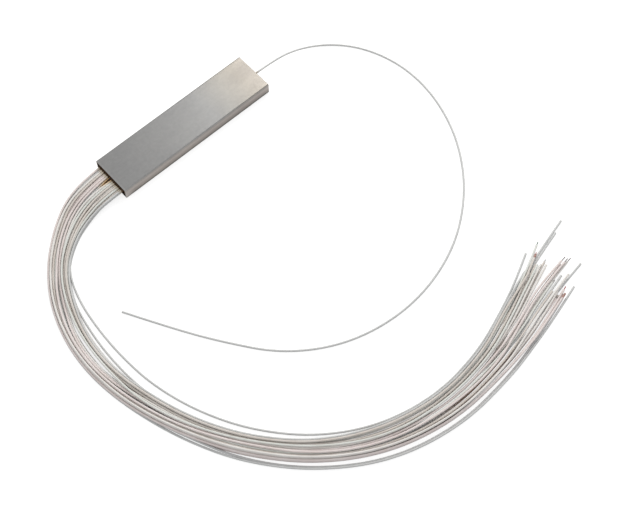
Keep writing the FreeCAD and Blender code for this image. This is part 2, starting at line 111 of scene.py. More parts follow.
# The opening in each layer at each station from the third on: how many tubes
# lie outside it and how wide it is
OPENINGS = [
    [(4, 0.3), (6, 0.2), (5, 0.0), (6, 0.3), (6, 1.5), (6, 1.4), (6, 0.2),
     (4, 0.1), (7, 0.1), (3, 0.6), (5, 0.9), (6, 1.0), (6, 0.8)],
    [(7, 0.4), (3, 0.6), (6, 0.7), (5, 1.0), (5, 1.6), (5, 1.5), (4, 0.8),
     (3, 0.7), (4, 0.9), (5, 1.2), (3, 1.6), (2, 1.5), (2, 1.3)],
    [(3, 0.5), (6, 0.7), (4, 0.6), (4, 1.0), (6, 1.5), (6, 1.4), (4, 0.7),
     (7, 0.2), (4, 0.1), (6, 0.7), (7, 1.2), (3, 1.5), (3, 1.3)],
    [(2, 0.0), (2, 0.6), (1, 1.0), (2, 1.4), (2, 2.8), (2, 2.7), (3, 1.6),
     (3, 0.8), (1, 1.2), (2, 0.9), (3, 1.3), (1, 0.6), (2, 1.4)],
]

# At two stations the innermost tube of the floor layer lies a little apart: how
# far past the bundle's width it lies, and how far the inner end of each layer is
# drawn in
APART_STATIONS = (6, 7)
APART = 0.5
DRAWN_IN = (1.2, 1.5, 1.8, 1.5)

# Three tubes stray from the bundle and lie beside it on the floor: each one's
# offset from the bundle's middle, outward, from the station where it leaves.
# The outermost one rests half on its neighbour, at the heights given for it
STRAYS = {
    (15, 0): {5: -6.7, 6: -8.7, 7: -9.2, 8: -8.5, 9: -7.5,
              10: -6.9, 11: -6.6, 12: -6.4, 13: -6.7, 14: -7.3},
    (0, 0): {9: 5.1, 10: 6.35, 11: 7.1, 12: 8.6, 13: 8.85, 14: 9.05},
    (1, 1): {10: 5.5, 11: 6.35, 12: 7.85, 13: 8.1, 14: 8.3},
}
STRAY_HEIGHTS = {
    (0, 0): {10: 0.75, 11: 1.0, 12: 1.0, 13: 1.0, 14: 0.95},
}

# The fan of free ends, from the outside in. Each tube's y where it crosses
# FAN_X, its y part of the way on, and its end's x, y and height
FAN_X = 40.0
BEND_SHARE = 0.52               # how far along a free end its last bend lies
FREE_ENDS = [
    (-171.5, -168.3, 69.7, -164.7, 0.45),
    (-170.6, -167.9, 62.5, -165.0, 0.45),
    (-169.7, -166.8, 63.6, -163.9, 0.45),
    (-170.1, -167.3, 64.0, -164.6, 1.80),
    (-169.5, -166.3, 65.2, -163.0, 1.15),
    (-168.0, -165.1, 62.0, -162.9, 0.45),
    (-167.6, -165.0, 62.6, -161.8, 1.90),
    (-167.0, -165.3, 60.0, -163.4, 1.10),
    (-166.4, -162.3, 71.4, -159.7, 2.20),
    (-166.2, -161.9, 79.5, -159.5, 0.45),
    (-165.1, -162.3, 61.0, -160.4, 1.80),
    (-164.5, -160.9, 69.2, -158.0, 1.15),
    (-163.6, -159.9, 66.0, -157.2, 0.45),
    (-163.6, -160.0, 64.0, -157.7, 1.80),
    (-162.6, -157.7, 75.6, -155.4, 1.15),
    (-162.0, -156.9, 74.2, -154.9, 2.10),
    (-161.7, -156.6, 73.0, -154.3, 0.45),
    (-161.1, -155.0, 73.9, -153.6, 1.80),
    (-159.9, -154.9, 68.3, -150.5, 1.15),
    (-159.3, -153.6, 69.0, -148.9, 0.45),
    (-158.7, -153.9, 64.0, -149.9, 2.00),
    (-158.0, -152.8, 66.8, -148.9, 1.15),
    (-157.4, -152.5, 65.1, -148.3, 2.20),
    (-156.9, -152.4, 61.8, -148.8, 0.45),
    (-156.3, -150.4, 68.2, -144.4, 1.80),
    (-155.6, -151.9, 65.0, -147.6, 1.20),
    (-154.9, -147.3, 82.3, -142.8, 0.45),
    (-154.5, -148.6, 71.6, -141.8, 1.80),
    (-153.5, -151.1, 59.6, -148.5, 2.75),
    (-153.7, -145.5, 88.1, -140.5, 0.60),
    (-152.8, -149.3, 59.6, -146.7, 1.30),
    (-152.2, -147.1, 66.1, -141.1, 0.45),
]
FAN_RISE = 0.8                  # the layers settle as the tubes spread


def unit(dx, dy):
    """The direction of a step, one long."""
    length = math.hypot(dx, dy)
    return dx / length, dy / length


def outward(k):
    """Unit normal of the bundle at station k, pointing out of the bend."""
    here = STATIONS[k]
    middle = (FAN_X, (FREE_ENDS[0][0] + FREE_ENDS[-1][0]) / 2)
    after = STATIONS[k + 1] if k + 1 < len(STATIONS) else middle
    ox, oy = unit(after[0] - here[0], after[1] - here[1])
    ix, iy = unit(here[0] - STATIONS[k - 1][0], here[1] - STATIONS[k - 1][1]) if k else (ox, oy)
    tx, ty = unit(ix + ox, iy + oy)
    return ty, -tx


def at_station(k, offset, height):
    """Point at a station: its place on the surface plus offset times the outward normal."""
    x, y = STATIONS[k][:2]
    nx, ny = outward(k)
    return (x + offset * nx, y + offset * ny, height)


def exit_offset(column):
    """Sideways place of a column in the potting, outward."""
    half = COLUMNS // 2
    side = 1 if column < half else -1
    from_gap = half - 1 - column if side > 0 else column - half
    return side * ((GROUP_GAP + LEAD_DIAMETER) / 2 + from_gap * EXIT_PITCH)


def spread_offset(k, column):
    """Sideways place of a column once the two groups have closed up."""
    reach = (STATIONS[k][3] - LEAD_DIAMETER) / 2
    return reach * (1 - 2 * column / (COLUMNS - 1))


def strayed(tube, k):
    """Whether a tube has left the bundle by station k."""
    return tube in STRAYS and k >= min(STRAYS[tube])


def layers_at(k):
    """The layers of tubes at station k."""
    return TIGHT_LAYERS if k >= FIRST_TIGHT else LOOSE_LAYERS


def level_at(k, tube):
    """The layer that a tube lies in at station k, counted from the floor up."""
    return [tube in layer for layer in layers_at(k)].index(True)


def layer_offset(k, tube):
    """Sideways place of a tube in its layer, evenly spread but for the opening."""
    level = level_at(k, tube)
    members = [other for other in layers_at(k)[level] if not strayed(other, k)]
    split, gap = OPENINGS[level][k - 2]
    reach = STATIONS[k][3] - LEAD_DIAMETER - LAYER_INSETS[level]
    order = members.index(tube)
    opened = k in APART_STATIONS
    together = len(members) - 1 if opened and level == 0 else len(members)
    if order == together:
        return -reach / 2 - APART
    drawn = DRAWN_IN[level] if opened else 0.0
    pitch = (reach - drawn - gap) / (together - 1)
    return reach / 2 - order * pitch - (gap if order >= split else 0.0)


def fan_order():
    """Every tube, as (tube, level), in the order of the free ends: the layers in turn."""
    floor, second, third, top = TIGHT_LAYERS
    order = [(floor[0], 0), (second[0], 0)]
    for i in range(len(third)):
        order.append((floor[i + 1], 0))
        order.append((third[i], 2))
        if i + 1 < len(second) - 1:
            order.append((second[i + 1], 1))
        if i % 2 == 1:
            order.append((top[i // 2], 3))
    order.append((second[-1], 0))
    return order


def exit_run(tube):
    """The first straight run of a tube: its start in the potting and the next point."""
    column, row = tube
    start = at_station(0, exit_offset(column), ROW_HEIGHTS[row])
    height = STATIONS[1][2] + level_at(1, tube) * LAYER_RISE
    return [start, at_station(1, spread_offset(1, column), height)]


def lead_route(rank):
    """The points of one output lead, from the potting to its free end."""
    tube, end_level = fan_order()[rank]
    points = exit_run(tube)
    for k in range(2, len(STATIONS)):
        if strayed(tube, k):
            height = STRAY_HEIGHTS.get(tube, {}).get(k, FLOOR)
            points.append(at_station(k, STRAYS[tube][k], height))
        else:
            height = STATIONS[k][2] + level_at(k, tube) * LAYER_RISE
            points.append(at_station(k, layer_offset(k, tube), height))
    root_y, bend_y, end_x, end_y, end_z = FREE_ENDS[rank]
    root_z = FLOOR + end_level * FAN_RISE
    bend_x = FAN_X + BEND_SHARE * (end_x - FAN_X)
    points.append((FAN_X, root_y, root_z))
    points.append((bend_x, bend_y, (root_z + end_z) / 2))
    points.append((end_x, end_y, end_z))
    return points


INPUT_ROUTE = [
    (36.4, 0.0, 3.0), (50.0, 0.0, 3.0), (63.7, -1.2, 1.2), (77.8, -9.0, FLOOR), (88.4, -22.7, FLOOR),
    (94.0, -42.0, FLOOR), (92.2, -63.6, FLOOR), (83.2, -85.7, FLOOR), (66.9, -105.7, FLOOR),
    (44.1, -120.6, FLOOR), (15.5, -127.0, FLOOR), (-13.4, -122.5, FLOOR), (-37.0, -108.0, FLOOR),
    (-52.8, -86.6, FLOOR), (-64.1, -68.1, FLOOR), (-74.0, -50.0, FLOOR),
]

# --- The tubes themselves ---------------------------------------------------
# Each lead is a tube of white polyester elastomer, 0.9 mm outside and about 0.5 mm inside, loose
# round a coated fibre. The tubes vary a little in tint, some are painted darker as shade, and near
# the housing the epoxy has wicked up them and stained them amber.
BORE_RADIUS = 0.26
FIBRE_RADIUS = 0.18
JACKET_SIDES = 18
SPLINE_STEPS = 14               # pieces of each spline between two of its points

# Each tint wanders between two tones, and the leads not listed are ivory; the two shaded tints are
# the white tube painted darker, as painted shade
JACKET_TINTS = {
    "ivory": ((0.84, 0.815, 0.79), (0.77, 0.74, 0.71)),
    "rose": ((0.82, 0.75, 0.735), (0.75, 0.665, 0.645)),
    # painted shade: the white tube painted grey
    "shaded_grey": ((0.645, 0.65, 0.65), (0.59, 0.595, 0.595)),
    "sage": ((0.765, 0.775, 0.75), (0.70, 0.71, 0.67)),
    # painted shade: the white tube painted darker and warmer, as shade within the fan
    "shaded_taupe": ((0.73, 0.685, 0.645), (0.65, 0.595, 0.55)),
}
LEADS_OF_TINT = {
    "rose": (3, 4, 5, 8, 16, 17, 18),
    "shaded_grey": (1, 2, 10, 12, 27, 30, 31, 32),
    "sage": (14, 23, 28),
    "shaded_taupe": (6, 11, 20, 24, 25, 26, 29),
}

# Stains and painted shade in metres: the middle, how far it reaches along each axis, the share of
# that reach at full strength, and the tone. The third darkens the tubes just past the housing's lip:
# dark epoxy with the painted shade of the lip over it. A brown painted shade also lies on the lowest
# tubes where the fan begins, under the gap in the tubes above them
EPOXY_STAINS_AND_LIP_SHADE = [
    ((-0.0390, 0.0, 0.003), (0.0036, 0.03, 0.03), 0.4, (0.76, 0.68, 0.54)),
    ((-0.0400, 0.0001, 0.003), (0.0082, 0.0017, 0.008), 0.3, (0.60, 0.38, 0.14)),
    # painted shade: dark epoxy on the tubes just past the lip, darkened further as the shade under
    # the lip
    ((-0.0390, 0.0, 0.003), (0.0018, 0.03, 0.03), 0.85, (0.11, 0.065, 0.035)),
    ((0.0400, 0.0, 0.003), (0.0030, 0.01, 0.01), 0.2, (0.46, 0.40, 0.30)),
]
# painted shade: brown on the lowest tubes where the fan begins
LOWEST_TUBE_SHADE = ((0.0120, -0.1688, 0.0003), (0.0300, 0.0052, 0.0016), 0.4, (0.40, 0.28, 0.22))


def new_group(name, inputs, outputs):
    """Empty shader node group with named sockets, and its two end nodes."""
    group = bpy.data.node_groups.new(name, "ShaderNodeTree")
    for socket, kind, value in inputs:
        entry = group.interface.new_socket(name=socket, in_out="INPUT", socket_type=kind)
        if value is not None:
            entry.default_value = value
    for socket, kind in outputs:
        group.interface.new_socket(name=socket, in_out="OUTPUT", socket_type=kind)
    return group, group.nodes.new("NodeGroupInput"), group.nodes.new("NodeGroupOutput")


def tone_drift_group():
    """Colour that wanders between two tones with a stretched noise, and the noise itself."""
    group, given, result = new_group(
        "tone_drift",
        [("Vector", "NodeSocketVector", None), ("Tone", "NodeSocketColor", (0.8, 0.8, 0.8, 1)),
         ("Other Tone", "NodeSocketColor", (0.6, 0.6, 0.6, 1)), ("Scale", "NodeSocketFloat", 100.0),
         ("Share", "NodeSocketFloat", 0.5)],
        [("Color", "NodeSocketColor"), ("Noise", "NodeSocketFloat")])
    noise = group.nodes.new("ShaderNodeTexNoise")
    noise.inputs["Detail"].default_value = 4.0
    group.links.new(given.outputs["Vector"], noise.inputs["Vector"])
    group.links.new(given.outputs["Scale"], noise.inputs["Scale"])
    spread = group.nodes.new("ShaderNodeMapRange")
    spread.inputs["From Min"].default_value = 0.35
    spread.inputs["From Max"].default_value = 0.65
    group.links.new(noise.outputs["Fac"], spread.inputs["Value"])
    group.links.new(given.outputs["Share"], spread.inputs["To Max"])
    mix = group.nodes.new("ShaderNodeMix")
    mix.data_type = "RGBA"
    group.links.new(spread.outputs["Result"], mix.inputs["Factor"])
    group.links.new(given.outputs["Tone"], mix.inputs["A"])
    group.links.new(given.outputs["Other Tone"], mix.inputs["B"])
    group.links.new(mix.outputs["Result"], result.inputs["Color"])
    group.links.new(noise.outputs["Fac"], result.inputs["Noise"])
    return group


tone_drift = tone_drift_group()


def new_material(name):
    """Material with its node tree and its one shader."""
    material = bpy.data.materials.new(name)
    material.use_nodes = True
    return material, material.node_tree, material.node_tree.nodes["Principled BSDF"]


def place_group(tree, group, **values):
    """One use of a shared effect, with this material's own values."""
    node = tree.nodes.new("ShaderNodeGroup")
    node.node_tree = group
    for socket, value in values.items():
        node.inputs[socket.replace("_", " ")].default_value = value
    return node


def object_vector(tree, stretch=(1.0, 1.0, 1.0)):
    """The piece's own coordinates in metres, stretched."""
    place = tree.nodes.new("ShaderNodeTexCoord")
    mapping = tree.nodes.new("ShaderNodeMapping")
    mapping.inputs["Scale"].default_value = stretch
    tree.links.new(place.outputs["Object"], mapping.inputs["Vector"])
    return mapping.outputs["Vector"]


def near_point(tree, centre, reach, core=0.0):
    """Mask that is 1 round a point, out to a core's share of the reach, and 0 a reach away."""
    place = tree.nodes.new("ShaderNodeTexCoord")
    mapping = tree.nodes.new("ShaderNodeMapping")
    mapping.vector_type = "TEXTURE"
    mapping.inputs["Location"].default_value = centre
    mapping.inputs["Scale"].default_value = reach
    tree.links.new(place.outputs["Object"], mapping.inputs["Vector"])
    length = tree.nodes.new("ShaderNodeVectorMath")
    length.operation = "LENGTH"
    tree.links.new(mapping.outputs["Vector"], length.inputs[0])
    ramp = tree.nodes.new("ShaderNodeMapRange")
    ramp.interpolation_type = "SMOOTHSTEP"
    ramp.inputs["From Min"].default_value = 1.0
    ramp.inputs["From Max"].default_value = core
    tree.links.new(length.outputs["Value"], ramp.inputs["Value"])
    return ramp.outputs["Result"]


def mix_color(tree, mask, under, over):
    """Colour under the mask where it is 0 and over it where it is 1."""
    mix = tree.nodes.new("ShaderNodeMix")
    mix.data_type = "RGBA"
    tree.links.new(mask, mix.inputs["Factor"])
    for value, socket in ((under, mix.inputs["A"]), (over, mix.inputs["B"])):
        if isinstance(value, bpy.types.NodeSocket):
            tree.links.new(value, socket)
        else:
            socket.default_value = (*value, 1)
    return mix.outputs["Result"]


def bump_from(tree, height, principled, distance, strength):
    """Fine relief, up to a distance in metres, from a value that varies over the piece."""
    bump = tree.nodes.new("ShaderNodeBump")
    bump.inputs["Distance"].default_value = distance
    bump.inputs["Strength"].default_value = strength
    tree.links.new(height, bump.inputs["Height"])
    tree.links.new(bump.outputs["Normal"], principled.inputs["Normal"])


def jacket_material(name, tone, shade):
    """Satin tube in two tones, with a faint grain and the stains laid over them."""
    material, tree, principled = new_material("jacket_" + name)
    drift = place_group(tree, tone_drift, Tone=(*tone, 1), Other_Tone=(*shade, 1),
                        Scale=160.0, Share=0.8)
    tree.links.new(object_vector(tree), drift.inputs["Vector"])
    color = drift.outputs["Color"]
    # the epoxy stains, with the painted shade under the lip and on the lowest tubes
    for centre, reach, core, stain_or_shade in (*EPOXY_STAINS_AND_LIP_SHADE, LOWEST_TUBE_SHADE):
        color = mix_color(tree, near_point(tree, centre, reach, core), color, stain_or_shade)
    tree.links.new(color, principled.inputs["Base Color"])
    principled.inputs["Roughness"].default_value = 0.5
    principled.inputs["Specular IOR Level"].default_value = 0.25
    grain = place_group(tree, tone_drift, Scale=900.0, Share=1.0)
    tree.links.new(object_vector(tree), grain.inputs["Vector"])
    bump_from(tree, grain.outputs["Noise"], principled, distance=0.00001, strength=0.1)
    return material


jackets = {name: jacket_material(name, *tones) for name, tones in JACKET_TINTS.items()}


def on_root(obj, node):
    """Place a new piece on the part's one body, in a node's stead if it has one."""
    bpy.context.scene.collection.objects.link(obj)
    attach(obj, "root")
    if node:
        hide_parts(node)


def tube_along(name, points, material):
    """Tube on one open spline whose control points are the route's points."""
    curve = bpy.data.curves.new(name, "CURVE")
    curve.dimensions = "3D"
    spline = curve.splines.new("NURBS")
    spline.points.add(len(points) - 1)
    for at, point in zip(spline.points, points):
        at.co = (*[value * MM for value in point], 1.0)
    spline.order_u = 3
    spline.use_endpoint_u = True
    spline.resolution_u = SPLINE_STEPS
    curve.bevel_depth = LEAD_DIAMETER / 2 * MM
    curve.bevel_resolution = (JACKET_SIDES - 4) // 2
    curve.materials.append(material)
    return bpy.data.objects.new(name, curve)


# --- Cut ends ---------------------------------------------------------------
# Each tube is cut square with a blade, so that its bore shows with the coloured
# fibre in it. From some tubes the fibre stands out of the bore by a millimetre
# or two, and two tubes have their ends marked with red ink.
TIPS = {4: 0.4, 5: 1.8, 15: 2.3, 16: 2.2, 18: 2.4, 20: 1.2, 25: 0.9, 28: 1.7}
SUNK_TIP = -0.15                # the other fibres end a little inside the bore
INK_MARKS = {4: 2.1, 25: 1.6}   # how far back from the cut the ink reaches
NO_MARK = 0.0
INK_SKIN = 0.02                 # thickness of the ink
LIP_LAP = 0.1                   # the lip starts under the tube's skin, this far back
LIP_TUCK = 0.004                # and this deep
SKIN_TUCK = 0.002               # it comes up to the skin, all but this much
SKIN_BACK = 0.01                # and follows it to this far from the cut
EDGE = 0.02                     # width of the broken edge, at the skin and at the bore
FACE_OUT = (0.008, 0.006)       # how far the cut face stands out, at the skin and at the bore
BORE_EDGE = 0.015               # depth of the bore's broken edge
BORE_RING = 0.4                 # an extra ring of the bore, this deep
BORE_DEPTH = 1.2
FIBRE_RING = 0.3                # and one of the fibre
TIP_LENGTH = 0.05               # length of the fibre's rounded tip
TIP_ROUND = [(1.0, 0.0), (0.9, 0.03), (0.5, 0.045)]     # share of the radius, and rise
END_SIDES = 24
PALE_SHARE = 0.9                # how the fibre's ink pales where it is thin
PALE_LIFT = 0.04
SMOOTH_BELOW = math.radians(40)
FIBRE_COLORS = {
    "blue": (0.05, 0.12, 0.30), "orange": (0.62, 0.19, 0.04), "green": (0.012, 0.085, 0.035),
    "brown": (0.030, 0.006, 0.005), "slate": (0.10, 0.10, 0.10), "white": (0.66, 0.64, 0.60),
    "red": (0.36, 0.015, 0.010), "black": (0.015, 0.015, 0.015),
}
FIBRE_OF_LEAD = {4: "red", 5: "red", 15: "brown", 16: "brown", 18: "brown", 20: "slate",
                 25: "red", 28: "green"}


def fibre_material(name, tone):
    """Ultraviolet-cured ink on the fibre's coating, glossy, with thin places."""
    material, tree, principled = new_material("fibre_" + name)
    pale = tuple(PALE_SHARE * part + PALE_LIFT for part in tone)
    drift = place_group(tree, tone_drift, Tone=(*tone, 1), Other_Tone=(*pale, 1),
                        Scale=900.0, Share=0.5)
    tree.links.new(object_vector(tree), drift.inputs["Vector"])
    tree.links.new(drift.outputs["Color"], principled.inputs["Base Color"])
    principled.inputs["Roughness"].default_value = 0.35
    principled.inputs["Specular IOR Level"].default_value = 0.15
    return material


fibres = {name: fibre_material(name, tone) for name, tone in FIBRE_COLORS.items()}

INK_RED = (0.50, 0.29, 0.25, 1)
INK_DRIED = (0.26, 0.145, 0.12, 1)
marker_ink, tree, principled = new_material("marker_ink")
drift = place_group(tree, tone_drift, Tone=INK_RED, Other_Tone=INK_DRIED, Scale=900.0, Share=0.9)
tree.links.new(object_vector(tree), drift.inputs["Vector"])
tree.links.new(drift.outputs["Color"], principled.inputs["Base Color"])
principled.inputs["Roughness"].default_value = 0.45


def revolved(profile, centre, axis):
    """Rings of vertices, and a pole: a profile of (radius, distance) turned about an axis.

    Ring i is the i-th point of the profile, and vertex j of it is turned by
    2 pi j / sides: centre + distance * axis + radius * (cos * across + sin * over).
    The profile's last point lies on the axis, and is one vertex.
    """
    axis = np.asarray(axis) / np.linalg.norm(axis)
    across = np.cross(axis, (0.0, 0.0, 1.0))
    across /= np.linalg.norm(across)
    over = np.cross(axis, across)
    turn = 2 * np.pi * np.arange(END_SIDES) / END_SIDES
    ring = np.cos(turn)[:, None] * across + np.sin(turn)[:, None] * over
    radius, distance = np.asarray(profile).T[:, :, None, None]
    grid = np.asarray(centre) + distance * axis + radius * ring
    return np.concatenate([grid[:-1].reshape(-1, 3), grid[-1, :1]])


def ring_faces(rows, first=0):
    """Quads between neighbouring rings, each closed on itself, and triangles to the pole."""
    i, j = np.meshgrid(np.arange(rows - 2), np.arange(END_SIDES), indexing="ij")
    after = (j + 1) % END_SIDES
    quads = np.stack([i * END_SIDES + j, i * END_SIDES + after,
                      (i + 1) * END_SIDES + after, (i + 1) * END_SIDES + j], -1)
    last = (rows - 2) * END_SIDES
    pole = np.full(END_SIDES, last + END_SIDES)
    fan = np.stack([last + j[0], last + after[0], pole], -1)
    return (quads.reshape(-1, 4) + first).tolist() + (fan + first).tolist()


def cut_end(name, points, tip, mark, jacket, fibre):
    """Lip and bore of the tube, and the fibre in it, on the end of a lead's last run.

    Both are profiles turned about the run: the lip's goes over the cut face and
    down the bore, the fibre's comes up from the bore's depth to its rounded tip.
    On a marked end the lip's starts further back, as a skin of ink on the tube.
    """
    radius = LEAD_DIAMETER / 2
    end = np.asarray(points[-1]) * MM
    axis = np.asarray(points[-1]) - np.asarray(points[-2])
    if mark:
        skin = [(radius + INK_SKIN, -mark), (radius + INK_SKIN, -SKIN_BACK)]
    else:
        skin = [(radius - SKIN_TUCK, -SKIN_BACK)]
    lip = [(radius - LIP_TUCK, -mark - LIP_LAP), *skin, (radius - EDGE, FACE_OUT[0]),
           (BORE_RADIUS + EDGE, FACE_OUT[1]), (BORE_RADIUS, -BORE_EDGE), (BORE_RADIUS, -BORE_RING),
           (BORE_RADIUS, -BORE_DEPTH), (0.0, -BORE_DEPTH)]
    shoulder = tip - TIP_LENGTH
    pin = [(FIBRE_RADIUS, -BORE_DEPTH), (FIBRE_RADIUS, -FIBRE_RING),
           *[(FIBRE_RADIUS * share, shoulder + rise) for share, rise in TIP_ROUND], (0.0, tip)]
    vertices = np.concatenate([revolved(np.array(lip) * MM, end, axis),
                               revolved(np.array(pin) * MM, end, axis)])
    faces = ring_faces(len(lip)) + ring_faces(len(pin), (len(lip) - 1) * END_SIDES + 1)
    mesh = bpy.data.meshes.new(name)
    mesh.from_pydata(vertices.tolist(), [], faces)
    mesh.materials.append(marker_ink if mark else jacket)
    mesh.materials.append(fibre)
    slots = np.repeat([0, 1], [(len(lip) - 1) * END_SIDES, (len(pin) - 1) * END_SIDES])
    mesh.polygons.foreach_set("material_index", slots.astype(np.int32))
    mesh.shade_smooth()
    mesh.set_sharp_from_angle(angle=SMOOTH_BELOW)
    return bpy.data.objects.new(name, mesh)


def free_lead(name, node, points, tip, mark, jacket, fibre):
    """One lead with its cut end, in place of its plain solid."""
    end = cut_end(name + "_end", points, tip, mark, jacket, fibre)
    on_root(end, None)
    lead = tube_along(name, points, jacket)
    on_root(lead, node)


tint_of_lead = {number: tint for tint, numbers in LEADS_OF_TINT.items() for number in numbers}
spare_fibres = list(FIBRE_COLORS)
for rank in range(2 * COLUMNS):
    number = rank + 1
    jacket = jackets[tint_of_lead.get(number, "ivory")]
    fibre = fibres[FIBRE_OF_LEAD.get(number, spare_fibres[rank % len(spare_fibres)])]
    free_lead("output_tube_%02d" % number, "output_lead_%02d" % number, lead_route(rank),
              TIPS.get(number, SUNK_TIP), INK_MARKS.get(number, NO_MARK), jacket, fibre)

# --- Input lead -------------------------------------------------------------
# The one input tube leaves the middle of the other end, level at first, then
# sags to the surface and lies in one wide loop inside the bundle's bend.
free_lead("input_tube", "input_lead", INPUT_ROUTE, SUNK_TIP, NO_MARK,
          jackets["shaded_grey"], fibres["blue"])

# --- Epoxy ------------------------------------------------------------------
# Amber two-part epoxy fills both ends of the housing round the tubes. It was
# poured in while thin, and ran out a little between the two groups of tubes
# and round the input lead.
AMBER = (0.42, 0.21, 0.045, 1)
BURNT_AMBER = (0.10, 0.040, 0.010, 1)
GOLDEN = (0.40, 0.22, 0.06)
GAP_SHADE_BLACK = (0.020, 0.008, 0.004)

# Where it ran out thin over the tubes, and where it stands thick in the wedge between the groups,
# painted near black there as the shade in the gap between them: the middle and the reach along each
# axis, in metres
THIN_RUN = ((-0.0465, 0.0, 0.002), (0.0060, 0.006, 0.006))
THICK_WEDGE_AND_GAP_SHADE = ((-0.0390, 0.0001, 0.003), (0.0068, 0.0006, 0.008), 0.5)

epoxy, tree, principled = new_material("epoxy")
drift = place_group(tree, tone_drift, Tone=AMBER, Other_Tone=BURNT_AMBER, Scale=420.0, Share=0.9)
tree.links.new(object_vector(tree), drift.inputs["Vector"])
golden = mix_color(tree, near_point(tree, *THIN_RUN), drift.outputs["Color"], GOLDEN)
# painted shade: near black down the gap between the two groups
tree.links.new(mix_color(tree, near_point(tree, *THICK_WEDGE_AND_GAP_SHADE), golden, GAP_SHADE_BLACK),
               principled.inputs["Base Color"])
principled.inputs["Roughness"].default_value = 0.3
principled.inputs["Specular IOR Level"].default_value = 0.2
bump_from(tree, drift.outputs["Noise"], principled, distance=0.0001, strength=0.3)


def finish_node(node, material):
    """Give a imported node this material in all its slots."""
    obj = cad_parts[node]
    if not obj.material_slots:
        obj.data.materials.append(material)
    for entry in obj.material_slots:
        entry.material = material


for node in ("output_potting", "input_potting"):
    finish_node(node, epoxy)

# --- Housing ----------------------------------------------------------------
# A length of drawn stainless tube, 80 x 20 x 6 mm, brushed lightly along its length and passivated.
# The long edges are drawn round, and the sawn ends are deburred; the light they catch is a painted
# highlight, and the steel also carries painted shade, sheen and reflection.

# The steel's tone by height in millimetres: painted shade darkens the foot, a painted sheen
# brightens the sides high up, and the flat top is painted duller than the sides
WALL_SHADE_AND_SHEEN = [
    (0.2, (0.07, 0.065, 0.06)), (0.9, (0.18, 0.17, 0.16)), (2.0, (0.355, 0.330, 0.308)),
    (3.0, (0.378, 0.348, 0.328)), (4.0, (0.450, 0.417, 0.396)), (5.0, (0.385, 0.360, 0.342)),
    (5.5, (0.315, 0.300, 0.288)), (5.85, (0.290, 0.285, 0.280)), (6.0, (0.230, 0.230, 0.230)),
]
# The top's painted light by x in millimetres: a painted highlight at the sawn output end and a
# painted warm reflection of the lamp at the input end, and the heights between which the top begins
TOP_GLINT_AND_WARM_REFLECTION = [
    (-40.0, (1.12, 1.12, 1.12)), (-39.5, (1.12, 1.12, 1.12)), (-39.2, (1.0, 1.0, 1.0)),
    (12.0, (1.0, 1.0, 1.0)), (24.0, (1.0, 0.965, 0.91)), (33.0, (1.0, 0.935, 0.85)),
    (40.0, (1.0, 0.925, 0.85)),
]
TOP_MASK = [(5.6, (0.0, 0.0, 0.0)), (5.95, (1.0, 1.0, 1.0))]
# A painted sheen on the near corner of the output end: its middle and its reach
CORNER_SHEEN = ((-0.0410, -0.0100, 0.0020), (0.0060, 0.0040, 0.0035))
SHEEN_STEEL = (0.46, 0.43, 0.41)
EDGE_TINT = (0.45, 0.43, 0.41, 1)
WHITE = (1.0, 1.0, 1.0)


def tones_along(tree, axis, stops):
    """Colour that follows one object coordinate in millimetres through the given stops."""
    place = tree.nodes.new("ShaderNodeTexCoord")
    parts = tree.nodes.new("ShaderNodeSeparateXYZ")
    tree.links.new(place.outputs["Object"], parts.inputs["Vector"])
    first, last = stops[0][0], stops[-1][0]
    share = tree.nodes.new("ShaderNodeMapRange")
    share.inputs["From Min"].default_value = first * MM
    share.inputs["From Max"].default_value = last * MM
    tree.links.new(parts.outputs[axis], share.inputs["Value"])
    ramp = tree.nodes.new("ShaderNodeValToRGB")
    elements = ramp.color_ramp.elements
    while len(elements) < len(stops):
        elements.new(0.5)
    for element, (at, tone) in zip(elements, stops):
        element.position = (at - first) / (last - first)
        element.color = (*tone, 1)
    tree.links.new(share.outputs["Result"], ramp.inputs["Fac"])
    return ramp.outputs["Color"]


def tinted(tree, first, second):
    """The product of two colours."""
    mix = tree.nodes.new("ShaderNodeMix")
    mix.data_type = "RGBA"
    mix.blend_type = "MULTIPLY"
    mix.inputs["Factor"].default_value = 1.0
    tree.links.new(first, mix.inputs["A"])
    tree.links.new(second, mix.inputs["B"])
    return mix.outputs["Result"]


steel, tree, principled = new_material("drawn_stainless")
cloud = place_group(tree, tone_drift, Tone=(1.0, 1.0, 0.995, 1), Other_Tone=(0.90, 0.90, 0.905, 1),
                    Scale=110.0, Share=1.0)
tree.links.new(object_vector(tree, (0.5, 1.0, 1.0)), cloud.inputs["Vector"])
strokes = place_group(tree, tone_drift, Tone=(1.0, 0.998, 0.992, 1),
                      Other_Tone=(0.94, 0.94, 0.945, 1), Scale=5200.0, Share=1.0)
tree.links.new(object_vector(tree, (0.06, 1.0, 1.0)), strokes.inputs["Vector"])
mottle = place_group(tree, tone_drift, Tone=(1.0, 1.0, 1.0, 1), Other_Tone=(0.94, 0.94, 0.94, 1),
                     Scale=650.0, Share=1.0)
tree.links.new(object_vector(tree), mottle.inputs["Vector"])
brushed = tinted(tree, cloud.outputs["Color"], strokes.outputs["Color"])
worn = tinted(tree, brushed, mottle.outputs["Color"])
# painted shade and sheen on the steel, by height
shaded_wall = tinted(tree, worn, tones_along(tree, "Z", WALL_SHADE_AND_SHEEN))
# painted highlight and warm painted reflection on the top
top_painted_light = mix_color(tree, tones_along(tree, "Z", TOP_MASK), WHITE, tones_along(tree, "X", TOP_GLINT_AND_WARM_REFLECTION))
tone = tinted(tree, shaded_wall, top_painted_light)
